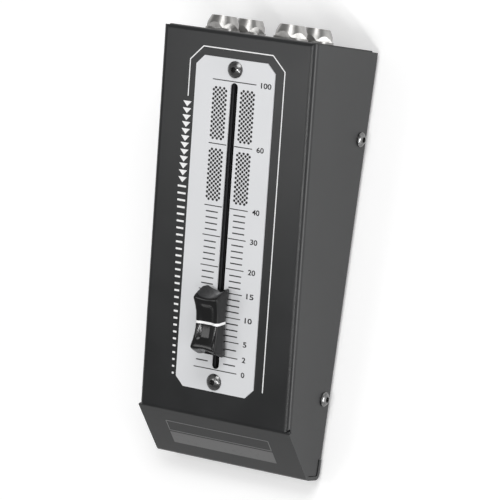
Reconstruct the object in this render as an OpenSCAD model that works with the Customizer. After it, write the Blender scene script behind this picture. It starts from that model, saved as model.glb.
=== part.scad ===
// Desktop volume control: a folded sheet case with a sloping panel, a long slide fader
// with its lever knob, and two rows of 6.35 mm jacks in the rear wall.
// +Z is up, -Y faces the user, and the origin is on the desk under the middle of the part.

/* [Case] */
// Width over the side walls
case_w = 68; // [62:0.5:90]
// Distance from the upper panel screw to the rear edge of the panel
rear_margin = 14.1; // [12:0.1:20]
// Slope of the panel
panel_slope = 7.5; // [5:0.5:10]
// Length of the nose facet under the panel
nose_len = 26.5; // [22:0.5:29]
// Slope of the nose facet
nose_slope = 45; // [40:1:50]
// Height of the upright apron under the nose facet
apron_h = 9; // [7:0.5:16]
// Thickness of the case sheet
sheet_t = 1.5; // [1.2:0.1:1.8]
// Outer radius of the case folds
fold_r = 2.5; // [2.2:0.1:3.2]
// Depth of the strip that the apron turns back under the case
return_d = 8; // [5:0.5:12]
// Height of the side flanges of the base plate
flange_h = 11; // [8:0.5:14]

/* [Feet] */
// Diameter of a rubber foot
foot_d = 10; // [8:0.5:12]
// Height of a rubber foot
foot_h = 2; // [1.5:0.25:5]
// Distance from a foot's centre to the edges of the base plate
foot_inset = 9; // [7:0.5:14]

/* [Fader] */
// Travel of the lever
travel = 100; // [60:1:102]
// Height of the pointer above its lowest stop, at rest
setting = 14; // [0:1:60]
// Distance from the nose fold to the lower panel screw
fader_start = 14.2; // [12:0.1:15]
// Distance from a panel screw to the pointer at its nearer stop
screw_margin = 10; // [9.5:0.1:11]
// Width of the fader's steel frame
frame_w = 15; // [14.6:0.1:17]
// Depth of the fader's steel frame
frame_d = 12.5; // [12:0.1:13.5]
// Thickness of the frame's sheet
frame_t = 1; // [0.8:0.1:1.2]
// Width of the lever along its travel
lever_w = 8; // [5:0.5:9]
// Thickness of the lever
lever_t = 1.2; // [0.8:0.1:1.5]
// Diameter of a guide rod
rod_d = 2.5; // [2:0.1:2.8]

/* [Scale plate] */
// Width of the scale plate
plate_w = 35; // [30:0.5:40]
// Thickness of the scale plate
plate_t = 0.5; // [0.3:0.1:1]
// Cut-off of the scale plate's corners
plate_corner = 3.5; // [2:0.5:5]
// Distance from a panel screw to the end of the scale plate
plate_margin = 3.9; // [3.7:0.1:6]
// Width of the slot in the scale plate
slot_w = 3.2; // [2.6:0.1:4]

/* [Knob] */
// Length of the knob at its foot
knob_len = 26.5; // [24:0.5:30]
// Width of the knob at its foot
knob_w = 11.4; // [10:0.1:13]
// Height of the knob
knob_h = 8.8; // [8:0.1:11]
// Distance between the two ridges on top
ridge_gap = 18.2; // [16:0.1:20]
// Depth of the finger saddle between the ridges
saddle_d = 2.5; // [1:0.1:3]
// Clearance between the knob and the scale plate
knob_lift = 2; // [1:0.1:3]
// Width of the white pointer line
pointer_w = 1; // [0.8:0.1:1.5]

/* [Jacks] */
// Bore for the plug
plug_bore = 6.5; // [6.4:0.05:6.7]
// Side of the square jack body
jack_side = 15; // [14.5:0.1:15.4]
// Depth of the jack body behind the wall
jack_depth = 25; // [24:0.5:27]
// Space between the two rows of jack bodies
row_gap = 4.1; // [2:0.1:6]
// Diameter of the threaded bushing
bushing_d = 9; // [8.6:0.1:9.2]
// Wall of the nut at its flats
nut_wall = 1.5; // [1.3:0.1:2]
// Height of the nut
nut_h = 4.7; // [4:0.1:7]
// Rim of the washer that shows around the nut's flats
washer_rim = 0.6; // [0.3:0.1:1]
// Thickness of the washer
washer_t = 0.8; // [0.5:0.1:1.2]

/* [Screws] */
// Thread diameter of all screws
thread_d = 3; // [2.5:0.1:3]
// Head diameter of the two panel screws
panel_head_d = 6.4; // [5.5:0.1:7]
// Head diameter of the side screws
side_head_d = 5.7; // [5:0.1:6.5]
// Height of a screw head
head_h = 1.65; // [1.2:0.05:2]
// Height of the side screws above the case's lower edge
side_screw_z = 4; // [4:0.1:5]
// Distance from the apron to the front pair of side screws
side_screw_front = 31.5; // [25:0.5:45]
// Distance from the rear wall to the rear pair of side screws
side_screw_rear = 34; // [25:0.5:45]

/* [Hidden] */
$fn = 64;
// Facets of the largest curves
fine = 240;
// Sides of a hexagon
hex = 6;
// Overrun of every cut
over = 1;
// Facets of each fold, and the lift that lets the panel's rounding meet it in a clean edge
fold_steps = 16;
fold_lift = 0.002;

// Colours
case_black = [0.13, 0.13, 0.14];
silver_white = [0.86, 0.87, 0.88];
screw_grey = [0.42, 0.42, 0.44];
bright_steel = [0.74, 0.75, 0.76];
bright_chrome = [0.85, 0.86, 0.88];
brassy = [0.78, 0.62, 0.32];
nylon_black = [0.09, 0.09, 0.1];
nylon_white = [0.85, 0.85, 0.82];
gloss_black = [0.05, 0.05, 0.055];
board_brown = [0.42, 0.25, 0.12];
carbon_black = [0.1, 0.1, 0.1];
wire_red = [0.7, 0.1, 0.1];
wire_white = [0.88, 0.88, 0.88];
wire_green = [0.1, 0.45, 0.2];

// Clearances
fit = 0.05;
part_gap = 0.3;
base_gap = 0.2;
jack_gap = 0.2;
hole_gap = 0.1;

// Outline of the case, as [y, z]
along = [cos(panel_slope), sin(panel_slope)];
proud = [-sin(panel_slope), cos(panel_slope)];
down_nose = [-cos(nose_slope), -sin(nose_slope)];
nose_proud = [-sin(nose_slope), cos(nose_slope)];
nose_run = nose_len * cos(nose_slope);
nose_drop = nose_len * sin(nose_slope);
screw_pitch = travel + 2 * screw_margin;
panel_len = fader_start + screw_pitch + rear_margin;
rear_h = apron_h + nose_drop + panel_len * sin(panel_slope);
case_depth = panel_len * cos(panel_slope) + nose_run;
jack_reach = washer_t + nut_h;
front_y = -(case_depth + jack_reach) / 2;
rear_y = front_y + case_depth;
case_z = foot_h;
rear_top = [rear_y, case_z + rear_h];
rear_foot = [rear_y, case_z];
nose_fold = [front_y + nose_run, case_z + apron_h + nose_drop];
apron_fold = [front_y, case_z + apron_h];
apron_foot = [front_y, case_z];
return_end = [front_y + return_d, case_z];
cover_path = [rear_foot, rear_top, nose_fold, apron_fold, apron_foot, return_end];
// Overhang of the nose and apron past the side walls, and the slit between them
nose_overhang = 0.3;
seam = 0.2;
// The rear fold is pressed tight; the others have the full radius
tight_fold = 0.2;
rear_fold_r = sheet_t + tight_fold;
cover_fold_r = [rear_fold_r, rear_fold_r, fold_r, fold_r, fold_r, fold_r];
// Notch beside the nose fold: its width, its height up the panel, and the place down the nose where full width starts
notch_w = 1.7;
relief = 0.5;
shoulder = 2 * relief;
notch_d = sheet_t + seam + part_gap;
// Step from the rear wall's face to the rear edges of the side walls
side_recess = 0.5;

function panel_point(s, h) = nose_fold + s * along + h * proud;
function nose_point(n, h) = nose_fold + n * down_nose + h * nose_proud;

// Fader places along the panel, from the nose fold
fader_mid = fader_start + screw_pitch / 2;
frame_margin = 4;
frame_len = screw_pitch + 2 * frame_margin;
frame_low = fader_start - frame_margin;
frame_high = frame_low + frame_len;
slot_end_gap = 0.9;
slot_len = travel + lever_w + 2 * slot_end_gap;
slot_margin = 0.7;
cover_slot_w = slot_w + 2 * slot_margin;
cover_slot_len = slot_len + 2 * slot_margin;
lever_play = 0.5;
frame_slot_w = lever_t + 2 * lever_play;
knob_s = fader_start + screw_margin + setting;

// Fader heights from the panel's face, downwards negative
frame_top = -sheet_t;
frame_under = frame_top - frame_t;
frame_foot = frame_top - frame_d;
board_t = 1.6;
board_top = frame_foot + board_t;
lip_t = 0.5;
lip_inner = lever_t / 2 + part_gap;
lip_margin = 1;
lip_outer = frame_w / 2 - frame_t - lip_margin;
carriage_drop = 1;
wiper_room = 2.4;
carriage_top = frame_under - lip_t - carriage_drop;
carriage_foot = board_top + wiper_room;
carriage_w = frame_w - 2 * frame_t - 2 * part_gap;
carriage_margin = 2;
carriage_len = lever_w + 2 * carriage_margin;
rod_wall = 0.55;
rod_x = (carriage_w - rod_d) / 2 - rod_wall;
rod_h = (carriage_top + carriage_foot) / 2;
socket_floor = 1;
lever_foot = carriage_foot + socket_floor;
buffer_t = 0.7;
buffer_w = 5;
buffer_h = 4;
block_len = frame_margin - part_gap + screw_margin - carriage_len / 2 - buffer_t - part_gap;
block_w = frame_w - 2 * frame_t - 2 * fit;
block_low = frame_low + part_gap;
block_high = frame_high - part_gap;
block_floor = 2;
rod_sink = block_len - block_floor;

// Tracks, wipers and terminals
track_t = 0.1;
track_place_share = 0.357;
track_width_share = 0.155;
collector_place_share = 0.147;
collector_width_share = 0.124;
finger_width_share = 0.093;
track_x = track_place_share * block_w;
track_w = track_width_share * block_w;
collector_x = collector_place_share * block_w;
collector_w = collector_width_share * block_w;
finger_w = finger_width_share * block_w;
leaf_t = 0.3;
wiper_len = 4;
wiper_reach = 5.5;
wiper_tip = 1;
pin_w = 0.8;
pin_tail = 4;
end_pin_s = 1.8;
collector_pin_s = 1.5;
track_low = fader_start - end_pin_s - pin_w;
track_high = fader_start + screw_pitch + end_pin_s + pin_w;

// Knob
knob_foot = plate_t + knob_lift;
knob_taper = 1.5;
knob_top_w = knob_w - knob_taper;
ridge_lip = 0.5;
end_scoop = 1.5;
waist = 0.9;
pointer_t = 0.4;
knob_roof = 1.3;
lever_top = knob_foot + knob_h - saddle_d - knob_roof;

// Jacks, measured from the outer face of the rear wall, outwards positive
jack_x = (frame_w + jack_side) / 2 + jack_gap;
jack_back = sheet_t + jack_depth;
jack_high = case_z + rear_h - jack_back * tan(panel_slope) - sheet_t / cos(panel_slope)
    - jack_side / 2 - part_gap;
jack_low = jack_high - jack_side - row_gap;
jack_wall = 2.5;
jack_skin = 1.5;
cap_t = 1.5;
bushing_flange_d = jack_side - 2 * jack_skin - 2 * part_gap;
bushing_flange_t = 1;
nut_nose = 1.4;
nut_face_rim = 0.3;
nut_af = bushing_d + 2 * nut_wall;
nut_face_d = bushing_d + 2 * nut_face_rim;
washer_d = nut_af + 2 * washer_rim;
bushing_out = washer_t + nut_h - nut_nose;
nut_hole_margin = 0.3;
nut_hole_d = plug_bore + 2 * nut_hole_margin;
contact_t = 0.4;
contact_w = 3;
contact_off = 5.2;
lug_len = 4.5;
tip_margin = 6;
tip_touch = jack_back - tip_margin;
tip_clear = plug_bore / 2 + part_gap + contact_t / 2;
tip_ramp = 3.5;

// Screws
shank_d = thread_d - 2 * fit;
clear_d = thread_d + 2 * hole_gap;
head_rim = 0.4;
socket_af = 2;
socket_d = 1;
panel_screw_len = 8;
screw_tip_room = 1;
side_screw_len = 6;
side_screw_y = [front_y + side_screw_front, rear_y - side_screw_rear];

// Base plate
base_w = case_w - 2 * sheet_t - 2 * base_gap;
base_low = front_y + return_d + part_gap;
base_high = rear_y - sheet_t - part_gap;
base_path = [
    [-base_w / 2, case_z + flange_h],
    [-base_w / 2, case_z],
    [base_w / 2, case_z],
    [base_w / 2, case_z + flange_h]
];

// Wires, with their routes as points in the part's frame
wire_d = 1.2;
bus_d = 0.8;
wire_sides = 8;
wire_steps = 2;
input_route = [
    [4.6, 69.6, 31], [4.6, 67, 30.6], [5, 60, 28.6], [5, 52, 28], [9, 45, 29],
    [14.6, 43, 34.5], [15.2, 45, 40.5], [15.2, 48.2, 41.4]
];
output_route = [
    [1.9, -48.7, 15.5], [2, -46.4, 14.8], [3, -42, 9], [5, -35, 4.8], [8, 0, 4.8],
    [12, 24, 4.8], [14, 35, 7], [15, 41, 14], [15.2, 44.5, 21], [15.2, 48.2, 22.3]
];
ground_route = [
    [4.6, -51.9, 15.1], [4.7, -50, 14.7], [6, -46, 9.5], [9, -38, 4.8], [15, 0, 4.8],
    [18.5, 30, 4.8], [20, 39, 9.5], [20.4, 44.5, 16.4], [20.4, 48.2, 17]
];

// Vectors and strips
function unit(v) = v / norm(v);
function left(v) = [-v[1], v[0]];
function reversed(list) = [for (i = [len(list) - 1 : -1 : 0]) list[i]];
function directions(points) = [for (i = [0 : len(points) - 2]) unit(points[i + 1] - points[i])];

// Point of a line drawn beside a path, mitred at its corners
function beside(points, ways, i, off) =
    let (before = left(ways[max(i - 1, 0)]), after = left(ways[min(i, len(ways) - 1)]))
    points[i] + off * (before + after) / (1 + before * after);

function beside_all(points, off) =
    let (ways = directions(points)) [for (i = [0 : len(points) - 1]) beside(points, ways, i, off)];

// Leaf of sheet bent along a path, with sharp bends
module leaf(points, thick) {
    polygon(concat(beside_all(points, thick / 2), reversed(beside_all(points, -thick / 2))));
}

// One face of a sheet folded along a path, at a depth on the path's left, with a radius for each point
function folded(points, radii, depth) =
    let (ways = directions(points), last = len(ways) - 1)
    [for (i = [0 : last + 1])
        let (before = ways[max(i - 1, 0)], after = ways[min(i, last)])
        let (bend = acos(min(before * after, 1)), start = atan2(before[1], before[0]) - 90)
        let (radius = radii[i], centre = points[i] - radius * tan(bend / 2) * before + radius * left(before))
        for (k = [0 : bend > 0 ? fold_steps : 0])
            let (angle = start + bend * k / fold_steps)
            centre + (radius - depth) * [cos(angle), sin(angle)]];

// Sheet folded along a path that runs on its outer face, with the sheet on the path's left
module folded_strip(points, thick, radii) {
    polygon(concat(folded(points, radii, 0), reversed(folded(points, radii, thick))));
}

// Long hole with round ends, along its second axis
module slot_shape(length, width) {
    square([width, length - width], center = true);
    for (end = [-1, 1])
        translate([0, end * (length - width) / 2]) circle(d = width);
}

// Places
module across(width) {
    rotate([90, 0, 90]) linear_extrude(width, center = true) children();
}

module along_depth(low, high) {
    translate([0, high, 0]) rotate([90, 0, 0]) linear_extrude(high - low) children();
}

module both_sides() {
    children();
    mirror([1, 0, 0]) children();
}

module on_panel() {
    translate([0, nose_fold[0], nose_fold[1]]) rotate([panel_slope, 0, 0]) children();
}

module on_nose() {
    translate([0, nose_fold[0], nose_fold[1]]) rotate([nose_slope, 0, 0]) children();
}

module at_panel_screws() {
    for (s = [fader_start, fader_start + screw_pitch])
        on_panel() translate([0, s, 0]) children();
}

module at_side_screws() {
    both_sides()
        for (y = side_screw_y)
            translate([case_w / 2, y, case_z + side_screw_z]) rotate([0, 90, 0]) children();
}

module at_feet() {
    both_sides()
        for (y = [base_low + foot_inset, base_high - foot_inset])
            translate([base_w / 2 - foot_inset, y, 0]) children();
}

// A jack's own frame has its axis on +Z, outwards, and its -Y upwards
module at_jack(column, row) {
    translate([column * jack_x, rear_y, row > 0 ? jack_high : jack_low])
        rotate([-90, 0, 0]) children();
}

module at_jacks() {
    for (column = [-1, 1], row = [-1, 1])
        at_jack(column, row) children();
}

// Block in the panel's frame, between two places along it and two heights
module panel_block(width, low, high, foot, top) {
    on_panel() translate([-width / 2, low, foot]) cube([width, high - low, top - foot]);
}

// Case
// One side wall; its upper and rear edges run inside the sheet that it joins
module side_wall() {
    joined = beside_all(cover_path, sheet_t / 2);
    clear = beside_all(cover_path, sheet_t + seam);
    translate([(case_w - sheet_t) / 2, 0, 0]) across(sheet_t)
        polygon([
            joined[0], joined[1], joined[2], clear[2], clear[3], clear[4],
            clear[5] + [seam, 0], return_end + [seam, 0]
        ]);
}

// Everything outside the round fold beside the panel
module beside_fold() {
    on_panel() translate([case_w / 2 - fold_r, 0, fold_lift - fold_r])
        along_depth(0, panel_len + over)
            difference() {
                square(fold_r + over);
                circle(r = fold_r);
            }
}

// Notch where the folds of the panel's side and of the nose meet
module corner_notch() {
    inner = case_w / 2 - notch_w;
    outer = case_w / 2 + nose_overhang + over;
    tip = relief / 4;
    on_nose() translate([0, 0, -notch_d]) linear_extrude(notch_d + over)
        polygon([[inner, tip], [inner, -tip], [outer, -shoulder], [outer, relief]]);
}

// Step and slit between the rear wall and a side wall
module rear_corner() {
    inner = case_w / 2 - fold_r;
    translate([inner, rear_y - side_recess, case_z - over])
        cube([fold_r + nose_overhang + over, side_recess + over, rear_h + 2 * over]);
    translate([case_w / 2 - sheet_t - seam, rear_y - sheet_t - over, case_z - over])
        cube([seam, sheet_t + 2 * over, rear_h - rear_fold_r - relief + over]);
    translate([case_w / 2, nose_fold[0], case_z - over])
        cube([nose_overhang + over, rear_y - nose_fold[0] + over, rear_h + 2 * over]);
}

module top_cover() {
    color(case_black)
        difference() {
            union() {
                across(case_w + 2 * nose_overhang) folded_strip(cover_path, sheet_t, cover_fold_r);
                both_sides() side_wall();
            }
            both_sides() {
                beside_fold();
                corner_notch();
                rear_corner();
            }
            on_panel() translate([0, fader_mid, -sheet_t - over])
                linear_extrude(sheet_t + 2 * over) slot_shape(cover_slot_len, cover_slot_w);
            at_panel_screws() translate([0, 0, -sheet_t - over])
                cylinder(d = clear_d, h = sheet_t + 2 * over);
            at_side_screws() translate([0, 0, -sheet_t - over])
                cylinder(d = clear_d, h = sheet_t + 2 * over);
            at_jacks() translate([0, 0, -sheet_t - over])
                cylinder(d = bushing_d + 2 * hole_gap, h = sheet_t + 2 * over);
        }
}

module base_plate() {
    color(case_black)
        difference() {
            along_depth(base_low, base_high) folded_strip(base_path, sheet_t, [for (point = base_path) fold_r]);
            at_side_screws() translate([0, 0, -2 * sheet_t - base_gap - over])
                cylinder(d = thread_d, h = sheet_t + 2 * over);
        }
}

module rubber_feet() {
    color(nylon_black) at_feet() cylinder(d1 = foot_d - foot_h / 2, d2 = foot_d, h = foot_h);
}

// Button head screw with its head on +Z
module button_screw(head_d, length) {
    dome = head_h - head_rim;
    ball = (head_d * head_d / 4 + dome * dome) / (2 * dome);
    difference() {
        union() {
            intersection() {
                cylinder(d = head_d, h = head_h);
                translate([0, 0, head_h - ball]) sphere(r = ball, $fn = fine);
            }
            translate([0, 0, -length]) cylinder(d = shank_d, h = length + head_rim);
        }
        translate([0, 0, head_h - socket_d])
            cylinder(d = socket_af / cos(30), h = socket_d + over, $fn = hex);
    }
}

module side_screws() {
    color(bright_steel) at_side_screws() button_screw(side_head_d, side_screw_len);
}

module panel_screws() {
    color(screw_grey) at_panel_screws() translate([0, 0, plate_t])
        button_screw(panel_head_d, panel_screw_len);
}

module scale_plate() {
    half = plate_w / 2;
    end = screw_pitch / 2 + plate_margin;
    color(silver_white)
        difference() {
            on_panel() translate([0, fader_mid, 0]) linear_extrude(plate_t)
                difference() {
                    polygon([
                        [half - plate_corner, -end], [half, -end + plate_corner],
                        [half, end - plate_corner], [half - plate_corner, end],
                        [-half + plate_corner, end], [-half, end - plate_corner],
                        [-half, -end + plate_corner], [-half + plate_corner, -end]
                    ]);
                    slot_shape(slot_len, slot_w);
                }
            at_panel_screws() translate([0, 0, -over]) cylinder(d = clear_d, h = plate_t + 2 * over);
        }
}

// Fader
module fader_frame() {
    inside = frame_w - 2 * frame_t;
    color(bright_steel)
        difference() {
            panel_block(frame_w, frame_low, frame_high, frame_foot, frame_top);
            panel_block(inside, frame_low - over, frame_high + over, frame_foot - over, frame_under);
            on_panel() translate([0, fader_mid, frame_under - over])
                linear_extrude(frame_t + 2 * over) slot_shape(slot_len, frame_slot_w);
            at_panel_screws() translate([0, 0, frame_under - over])
                cylinder(d = thread_d, h = frame_t + 2 * over);
        }
}

module rods(diameter, low, high) {
    on_panel() both_sides()
        translate([rod_x, 0, rod_h]) along_depth(low, high) circle(d = diameter);
}

module end_block(low, screw_s) {
    screw_room = panel_screw_len - plate_t - sheet_t - frame_t + screw_tip_room;
    color(nylon_white)
        difference() {
            panel_block(block_w, low, low + block_len, board_top + track_t, frame_under);
            rods(rod_d + 2 * fit, block_low + block_len - rod_sink, block_high - block_len + rod_sink);
            on_panel() translate([0, screw_s, frame_under - screw_room])
                cylinder(d = clear_d, h = screw_room + over);
        }
}

module front_end_block() {
    end_block(block_low, fader_start);
}

module rear_end_block() {
    end_block(block_high - block_len, fader_start + screw_pitch);
}

module travel_buffers() {
    low = block_low + block_len;
    high = block_high - block_len;
    color(nylon_black)
        for (s = [low, high - buffer_t])
            panel_block(buffer_w, s, s + buffer_t, rod_h - buffer_h / 2, rod_h + buffer_h / 2);
}

module guide_rods() {
    slack = rod_sink - part_gap;
    color(bright_steel)
        rods(rod_d, block_low + block_len - slack, block_high - block_len + slack);
}

// Places of the six terminals, as [x, s]
terminals = [
    for (x = [-track_x, track_x]) each [
        [x, fader_start - end_pin_s], [x, fader_start + screw_pitch + end_pin_s]
    ],
    for (x = [-collector_x, collector_x]) [x, fader_start + collector_pin_s]
];

module track_board() {
    pin_hole = pin_w + 2 * hole_gap;
    color(board_brown)
        difference() {
            panel_block(block_w, block_low, block_high, frame_foot, board_top);
            for (place = terminals)
                on_panel() translate([place[0], place[1], (frame_foot + board_top) / 2])
                    cube([pin_hole, pin_hole, board_t + 2 * over], center = true);
        }
}

module terminal_pins() {
    color(bright_steel)
        for (place = terminals)
            on_panel() translate([place[0] - pin_w / 2, place[1] - pin_w / 2, frame_foot - pin_tail])
                cube([pin_w, pin_w, pin_tail + board_t]);
}

module track_pair(x, width) {
    on_panel() both_sides()
        translate([x - width / 2, track_low, board_top]) cube([width, track_high - track_low, track_t]);
}

module resistive_tracks() {
    color(carbon_black) track_pair(track_x, track_w);
}

module collector_tracks() {
    color(bright_steel) track_pair(collector_x, collector_w);
}

module dust_lips() {
    color(nylon_black) on_panel() both_sides()
        translate([lip_inner, fader_mid - slot_len / 2 - lip_t, frame_under - lip_t])
            cube([lip_outer - lip_inner, slot_len + 2 * lip_t, lip_t]);
}

module carriage() {
    half = carriage_len / 2;
    color(nylon_white)
        difference() {
            panel_block(carriage_w, knob_s - half, knob_s + half, carriage_foot, carriage_top);
            rods(rod_d + 2 * fit, knob_s - half - over, knob_s + half + over);
            panel_block(lever_t + 2 * fit, knob_s - lever_w / 2 - fit, knob_s + lever_w / 2 + fit,
                lever_foot, carriage_top + over);
        }
}

module wiper() {
    spring_top = carriage_foot - leaf_t / 2;
    spring_foot = board_top + track_t + hole_gap + leaf_t / 2;
    spring = [
        [wiper_len / 2, spring_top], [0, spring_top],
        [wiper_tip - wiper_reach, spring_foot], [-wiper_reach, spring_foot + leaf_t]
    ];
    on_panel() translate([0, knob_s, 0]) {
        translate([collector_x - finger_w / 2, 0, carriage_foot - leaf_t])
            cube([track_x - collector_x + finger_w, wiper_len / 2, leaf_t]);
        for (x = [collector_x, track_x])
            translate([x, 0, 0]) across(finger_w) leaf(spring, leaf_t);
    }
}

module left_wiper() {
    color(brassy) mirror([1, 0, 0]) wiper();
}

module right_wiper() {
    color(brassy) wiper();
}

module lever() {
    color(bright_steel)
        panel_block(lever_t, knob_s - lever_w / 2, knob_s + lever_w / 2, lever_foot, lever_top);
}

// Knob, with its foot at height 0 and the travel along Y; skin is taken off its sides and top
module knob_form(skin) {
    end_lean = atan((knob_len - ridge_gap - 2 * ridge_lip) / 2 / knob_h);
    side_lean = atan((knob_w - knob_top_w) / 2 / knob_h);
    saddle_r = (ridge_gap * ridge_gap / 4 + saddle_d * saddle_d) / (2 * saddle_d);
    scoop_r = (knob_w * knob_w / 4 + end_scoop * end_scoop) / (2 * end_scoop);
    waist_r = (knob_len * knob_len / 4 + waist * waist) / (2 * waist);
    top_half = ridge_gap / 2 + ridge_lip;
    difference() {
        intersection() {
            across(knob_w)
                polygon([[-knob_len / 2, 0], [knob_len / 2, 0], [top_half, knob_h], [-top_half, knob_h]]);
            along_depth(-knob_len / 2, knob_len / 2)
                polygon([
                    [skin - knob_w / 2, 0], [knob_w / 2 - skin, 0],
                    [knob_top_w / 2 - skin, knob_h], [skin - knob_top_w / 2, knob_h]
                ]);
        }
        translate([0, 0, knob_h + saddle_r - saddle_d])
            across(knob_w + 2 * over) circle(r = saddle_r + skin, $fn = fine);
        for (end = [0, 1])
            mirror([0, end, 0]) translate([0, knob_len / 2, 0]) rotate([end_lean, 0, 0])
                translate([0, scoop_r - end_scoop, -knob_h]) cylinder(r = scoop_r, h = 3 * knob_h, $fn = fine);
        both_sides()
            translate([knob_w / 2, 0, 0]) rotate([0, -side_lean, 0])
                translate([waist_r - waist - skin, 0, -knob_h]) cylinder(r = waist_r, h = 3 * knob_h, $fn = fine);
    }
}

module at_knob() {
    on_panel() translate([0, knob_s, knob_foot]) children();
}

module pointer_slab() {
    translate([-knob_w / 2, -pointer_w / 2, 0]) cube([knob_w, pointer_w, knob_h]);
}

module knob() {
    socket = [lever_t + 2 * fit, lever_w + 2 * fit, lever_top - knob_foot + fit];
    color(gloss_black)
        at_knob() difference() {
            knob_form(0);
            difference() {
                pointer_slab();
                knob_form(pointer_t);
            }
            translate([-socket[0] / 2, -socket[1] / 2, -over]) cube(socket + [0, 0, over]);
        }
}

module knob_pointer() {
    color(nylon_white)
        at_knob() difference() {
            intersection() {
                knob_form(0);
                pointer_slab();
            }
            knob_form(pointer_t);
        }
}

// Jacks
module jack_body(column, row) {
    room = jack_side - 2 * jack_skin;
    color(nylon_black)
        at_jack(column, row) difference() {
            translate([-jack_side / 2, -jack_side / 2, -jack_back]) cube([jack_side, jack_side, jack_depth]);
            translate([-room / 2, -room / 2, -jack_back - over])
                cube([room, room, jack_depth - jack_wall + over]);
            translate([0, 0, -jack_back]) cylinder(d = bushing_d + 2 * fit, h = jack_depth + over);
        }
}

module jack_bushing(column, row) {
    wall_in = sheet_t + jack_wall;
    color(bright_chrome)
        at_jack(column, row) difference() {
            union() {
                translate([0, 0, -wall_in]) cylinder(d = bushing_d, h = wall_in + bushing_out);
                translate([0, 0, -wall_in - bushing_flange_t])
                    cylinder(d = bushing_flange_d, h = bushing_flange_t);
            }
            translate([0, 0, -wall_in - bushing_flange_t - over])
                cylinder(d = plug_bore, h = wall_in + bushing_flange_t + bushing_out + 2 * over);
        }
}

module jack_washers() {
    color(bright_steel)
        at_jacks() difference() {
            cylinder(d = washer_d, h = washer_t);
            translate([0, 0, -over]) cylinder(d = bushing_d + 2 * hole_gap, h = washer_t + 2 * over);
        }
}

module jack_nuts() {
    corner_d = nut_af / cos(30);
    thread_h = bushing_out - washer_t + fit;
    color(bright_chrome)
        at_jacks() translate([0, 0, washer_t]) difference() {
            intersection() {
                cylinder(d1 = corner_d, d2 = nut_face_d, h = nut_h);
                cylinder(d = corner_d, h = nut_h, $fn = hex);
            }
            translate([0, 0, -over]) cylinder(d = bushing_d + 2 * fit, h = thread_h + over);
            cylinder(d = nut_hole_d, h = nut_h + over);
        }
}

module contact_slot(off_x, off_y) {
    room_t = contact_t + 2 * hole_gap;
    room_w = contact_w + 2 * hole_gap;
    size = off_x == 0 ? [room_w, room_t] : [room_t, room_w];
    translate([off_x, off_y]) square(size, center = true);
}

module jack_caps() {
    room = jack_side - 2 * jack_skin - 2 * fit;
    color(nylon_black)
        at_jacks() translate([0, 0, -jack_back]) linear_extrude(cap_t)
            difference() {
                square(room, center = true);
                contact_slot(0, -contact_off);
                contact_slot(contact_off, 0);
            }
}

module jack_tip_contacts() {
    path = [
        [contact_off, -jack_back - lug_len], [contact_off, -tip_touch - tip_ramp],
        [tip_clear, -tip_touch], [contact_off, -tip_touch + tip_ramp]
    ];
    color(brassy)
        at_jacks() rotate([90, 0, -90]) linear_extrude(contact_w, center = true) leaf(path, contact_t);
}

module jack_sleeve_contacts() {
    back = jack_back + lug_len;
    front = sheet_t + jack_wall + bushing_flange_t;
    color(brassy)
        at_jacks() translate([contact_off - contact_t / 2, -contact_w / 2, -back])
            cube([contact_t, contact_w, back - front]);
}

// Wires
function between(points, i, t) =
    let (
        last = len(points) - 1,
        a = points[max(i - 1, 0)], b = points[i],
        c = points[min(i + 1, last)], d = points[min(i + 2, last)]
    )
    b + t * (c - a) / 2 + t * t * (2 * a - 5 * b + 4 * c - d) / 2 + t * t * t * (3 * b - a - 3 * c + d) / 2;

function smooth(points) = [
    for (i = [0 : len(points) - 2], k = [0 : wire_steps - 1]) between(points, i, k / wire_steps),
    points[len(points) - 1]
];

// Ring of a tube; the routes never run along X, so X serves as the sideways reference
function ring(line, i, diameter) =
    let (
        ahead = unit(line[min(i + 1, len(line) - 1)] - line[max(i - 1, 0)]),
        up = unit(cross([1, 0, 0], ahead)),
        aside = cross(ahead, up)
    )
    [for (k = [0 : wire_sides - 1])
        line[i] + diameter / 2 * (cos(360 * k / wire_sides) * aside + sin(360 * k / wire_sides) * up)];

module tube(route, diameter) {
    line = smooth(route);
    n = wire_sides;
    last = len(line) - 1;
    rings = [for (i = [0 : last]) each ring(line, i, diameter)];
    sides = [for (i = [0 : last - 1], k = [0 : n - 1])
        let (a = i * n + k, b = i * n + (k + 1) % n)
        each [[a, a + n, b], [b, a + n, b + n]]];
    front = [for (k = [1 : n - 2]) [0, k, k + 1]];
    back = [for (k = [1 : n - 2]) [last * n, last * n + k + 1, last * n + k]];
    polyhedron(rings, concat(sides, front, back));
}

function mirrored(route) = [for (p = route) [-p[0], p[1], p[2]]];

module input_wire_right() {
    color(wire_red) tube(input_route, wire_d);
}

module input_wire_left() {
    color(wire_white) tube(mirrored(input_route), wire_d);
}

module output_wire_right() {
    color(wire_red) tube(output_route, wire_d);
}

module output_wire_left() {
    color(wire_white) tube(mirrored(output_route), wire_d);
}

module ground_wire() {
    color(wire_green) tube(ground_route, wire_d);
}

// Bare wire along the jacks' sleeve lugs, and the short one across the fader's low ends
module ground_bus() {
    bus_y = rear_y - jack_back - lug_len / 2;
    lug_side = contact_off + (contact_t + bus_d) / 2;
    color(bright_steel) {
        for (column = [-1, 1])
            translate([column * jack_x + lug_side, bus_y, jack_low]) cylinder(d = bus_d, h = jack_high - jack_low);
        translate([lug_side - jack_x, bus_y, jack_low + (contact_w + bus_d) / 2]) rotate([0, 90, 0])
            cylinder(d = bus_d, h = 2 * jack_x);
        on_panel()
            translate([-track_x, fader_start - end_pin_s - (pin_w + bus_d) / 2, frame_foot - pin_tail / 2])
                rotate([0, 90, 0]) cylinder(d = bus_d, h = 2 * track_x);
    }
}

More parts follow.
